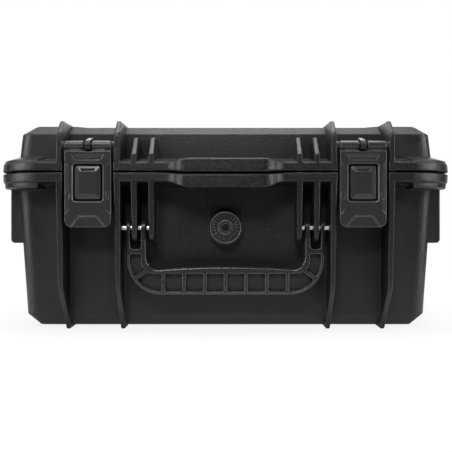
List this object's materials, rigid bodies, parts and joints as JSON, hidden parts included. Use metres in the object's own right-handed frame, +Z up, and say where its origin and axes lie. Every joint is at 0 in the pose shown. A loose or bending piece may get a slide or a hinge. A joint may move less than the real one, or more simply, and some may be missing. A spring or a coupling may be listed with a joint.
{
  "type": "hard protective case",
  "caption": "Moulded hard case with a hinged lid, swing latches with press buttons, a fold-down carry handle, a pressure valve and a foam lining.",
  "frame": {"origin": "on the surface that the case stands on, under the middle of its box", "axes": "+X to the right along the front, +Y from the front to the hinge, +Z up"},
  "size_m": [0.3388, 0.295, 0.1545],
  "materials": {
    "moulded_shell": "matte",
    "latch_plastic": "satin",
    "handle_plastic": "satin",
    "valve_plastic": "satin",
    "steel": "satin",
    "seal": "matte",
    "foam": "matte"
  },
  "bodies": {
    "base": {"base_shell": "moulded_shell", "valve_body": "valve_plastic", "valve_oring": "seal", "valve_nut": "valve_plastic", "base_foam_pad": "foam", "base_foam_block": "foam", "hinge_pin_right": "steel", "hinge_pin_left": "steel", "handle_pin_right": "steel", "handle_pin_left": "steel"},
    "lid": {"lid_shell": "moulded_shell", "lid_gasket": "seal", "lid_foam": "foam", "latch_pin_right": "steel", "latch_pin_left": "steel"},
    "handle": {"carry_handle": "handle_plastic"},
    "valve": {"valve_knob": "valve_plastic"},
    "latch_right": {"latch_body_right": "latch_plastic", "button_pin_right": "steel", "button_spring_right": "steel"},
    "button_right": {"latch_button_right": "latch_plastic"},
    "latch_left": {"latch_body_left": "latch_plastic", "button_pin_left": "steel", "button_spring_left": "steel"},
    "button_left": {"latch_button_left": "latch_plastic"}
  },
  "joints": [
    {"name": "lid_hinge", "type": "hinge", "parent": "base", "child": "lid", "pos_m": [0, 0.142, 0.117], "axis": [-1, 0, 0], "range_deg": [0, 105]},
    {"name": "handle_swing", "type": "hinge", "parent": "base", "child": "handle", "pos_m": [0, -0.127, 0.0767], "axis": [-1, 0, 0], "range_deg": [0, 100]},
    {"name": "valve_turn", "type": "hinge", "parent": "base", "child": "valve", "pos_m": [0, -0.1131, 0.0767], "axis": [0, -1, 0], "range_deg": [0, 180]},
    {"name": "latch_right_swing", "type": "hinge", "parent": "lid", "child": "latch_right", "pos_m": [0.098, -0.1351, 0.136], "axis": [-1, 0, 0], "range_deg": [0, 115]},
    {"name": "button_right_press", "type": "hinge", "parent": "latch_right", "child": "button_right", "pos_m": [0.098, -0.1325, 0.109], "axis": [-1, 0, 0], "range_deg": [0, 8], "stiffness_Nm_per_rad": 0.3, "springref_deg": -2.86, "deforming": ["button_spring_right"]},
    {"name": "latch_left_swing", "type": "hinge", "parent": "lid", "child": "latch_left", "pos_m": [-0.098, -0.1351, 0.136], "axis": [-1, 0, 0], "range_deg": [0, 115]},
    {"name": "button_left_press", "type": "hinge", "parent": "latch_left", "child": "button_left", "pos_m": [-0.098, -0.1325, 0.109], "axis": [-1, 0, 0], "range_deg": [0, 8], "stiffness_Nm_per_rad": 0.3, "springref_deg": -2.86, "deforming": ["button_spring_left"]}
  ]
}
